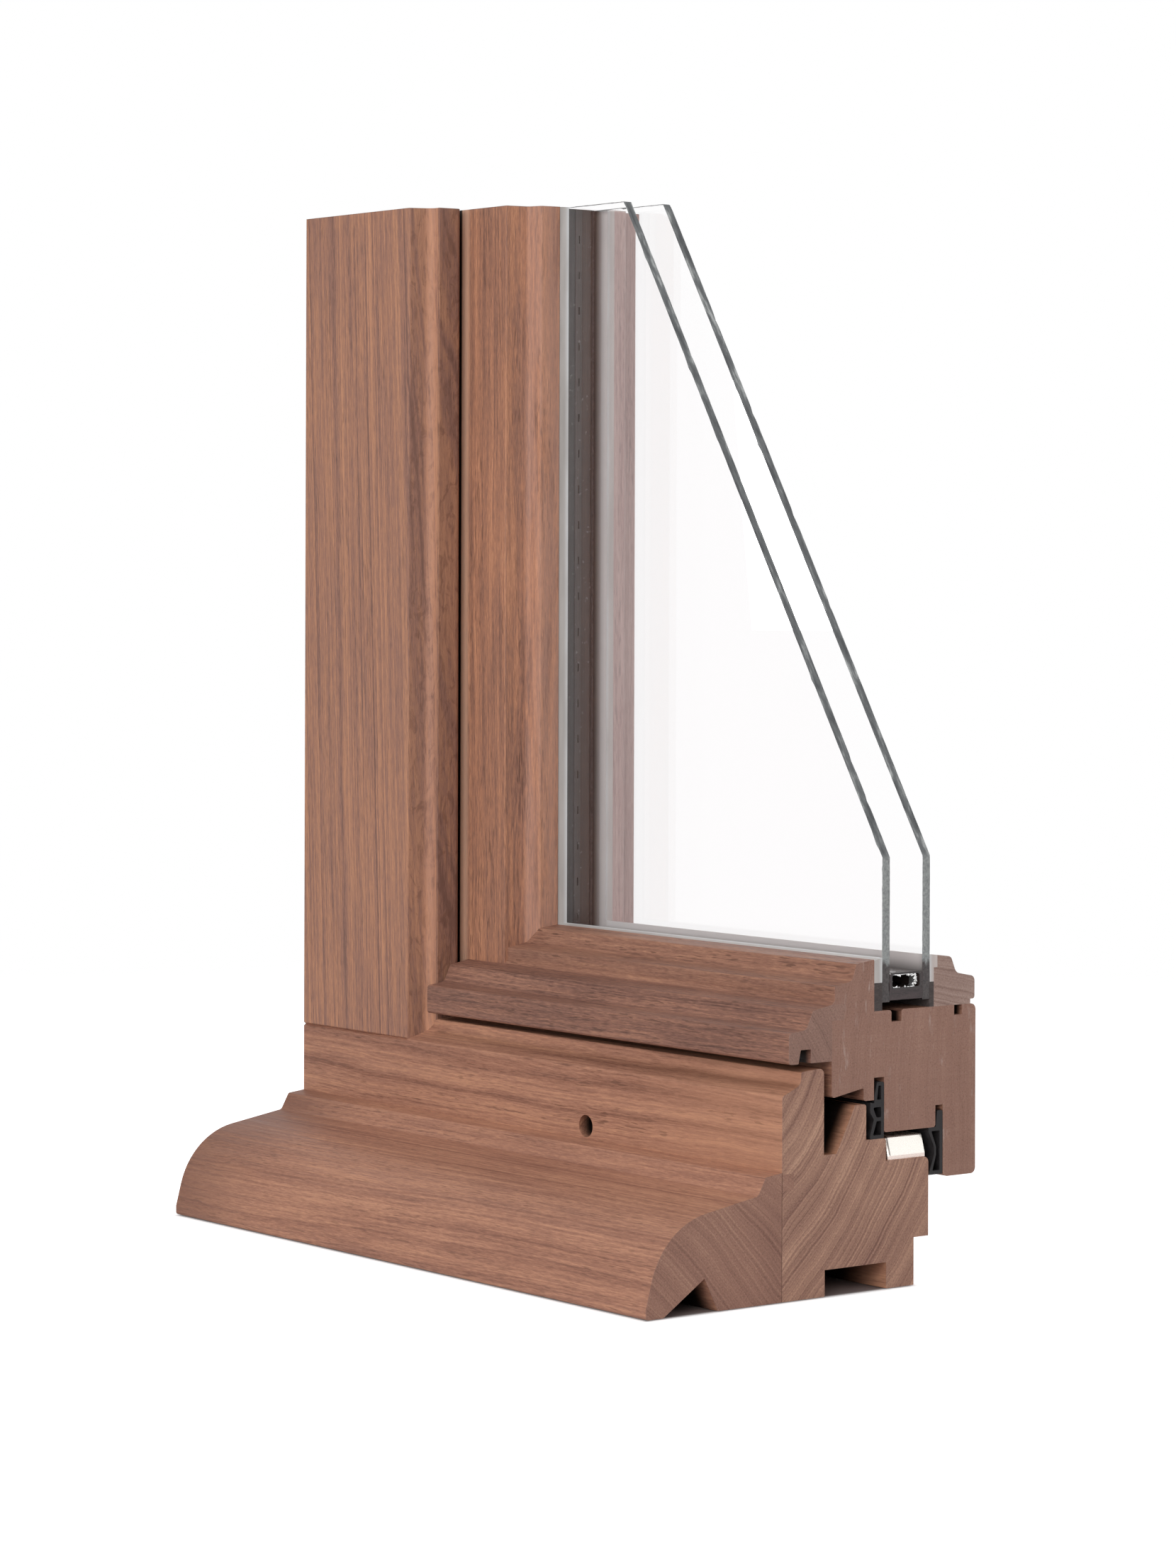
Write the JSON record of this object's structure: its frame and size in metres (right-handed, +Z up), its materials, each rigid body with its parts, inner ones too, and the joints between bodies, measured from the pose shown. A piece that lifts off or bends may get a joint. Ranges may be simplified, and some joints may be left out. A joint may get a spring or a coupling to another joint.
{
  "type": "window frame profile",
  "caption": "Corner sample of a timber window: fixed frame, sill nose, opening sash, weather bar and double glazing, sawn through to show the profiles.",
  "frame": {"origin": "centre of the bounding box at the underside that stands on the floor", "axes": "+Z up along the stiles; +X along the rails from the outer corner to the sawn end; -Y towards the weather side"},
  "size_m": [0.3414, 0.174, 0.454],
  "materials": {
    "frame_timber": "planed hardwood under a thin satin stain",
    "nose_timber": "planed hardwood under a thin satin stain",
    "sash_timber": "planed hardwood under a thin satin stain",
    "bar_timber": "planed hardwood under a thin satin stain",
    "bead_timber": "planed hardwood under a thin satin stain",
    "glass": "clear float glass with sawn and broken edges",
    "spacer": "dark coated hollow bar, bright where sawn",
    "sealant": "matt black sealant",
    "tape": "dark closed-cell foam",
    "silicone": "cloudy silicone, smoothed",
    "gasket": "soft black extruded rubber",
    "keep_steel": "bright zinc-plated steel"
  },
  "bodies": {
    "root": {"frame_rail": "frame_timber", "frame_stile": "frame_timber", "sill_nose": "nose_timber", "sash_rail": "sash_timber", "sash_stile": "sash_timber", "weather_bar": "bar_timber", "bottom_bead": "bead_timber", "side_bead": "bead_timber", "outer_pane": "glass", "inner_pane": "glass", "spacer_bar": "spacer", "edge_sealant": "sealant", "outer_tape": "tape", "inner_tape": "tape", "outer_silicone": "silicone", "inner_silicone": "silicone", "middle_gasket": "gasket", "inner_gasket": "gasket", "keep_plate": "keep_steel"}
  },
  "joints": []
}
